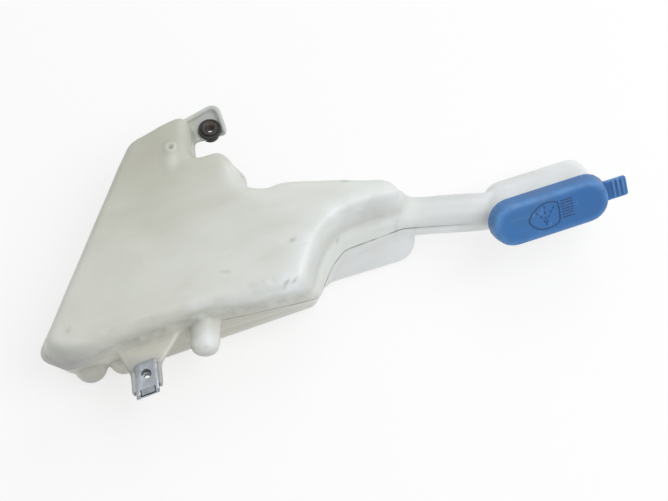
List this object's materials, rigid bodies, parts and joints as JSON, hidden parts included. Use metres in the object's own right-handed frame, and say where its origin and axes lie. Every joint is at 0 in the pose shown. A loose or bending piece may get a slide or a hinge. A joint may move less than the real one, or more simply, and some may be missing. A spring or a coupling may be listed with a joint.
{
  "type": "washer fluid reservoir",
  "caption": "Flat blow-moulded tank with a filler neck, slanted filler head under a hinged lid, rubber-bushed mounting ear, lug with clip nut, locating peg and pump port.",
  "frame": {"origin": "under the middle of the bounding box, on the plane of the tank's back face", "axes": "+X from the sump end of the tank along the filler neck to the filler head, +Y away from the side with the lug and peg, +Z out of the tank's front face"},
  "size_m": [0.4624, 0.2564, 0.0821],
  "materials": {
    "tank": "milky natural polyethylene",
    "filler_lid": "satin moulded blue",
    "lid_hinge_pin": "zinc plated",
    "lid_seal": "matt",
    "mount_bush": "matt",
    "clip_nut": "zinc plated",
    "pump_grommet": "matt"
  },
  "bodies": {
    "tank": {"tank": "tank", "lid_hinge_pin": "lid_hinge_pin", "mount_bush": "mount_bush", "clip_nut": "clip_nut", "pump_grommet": "pump_grommet"},
    "lid": {"filler_lid": "filler_lid", "lid_seal": "lid_seal"}
  },
  "joints": [
    {"name": "lid_hinge", "type": "hinge", "parent": "tank", "child": "lid", "pos_m": [0.12291, 0.01546, 0.05969], "axis": [0.236, -0.6665, -0.7071], "range_deg": [0, 100]}
  ]
}
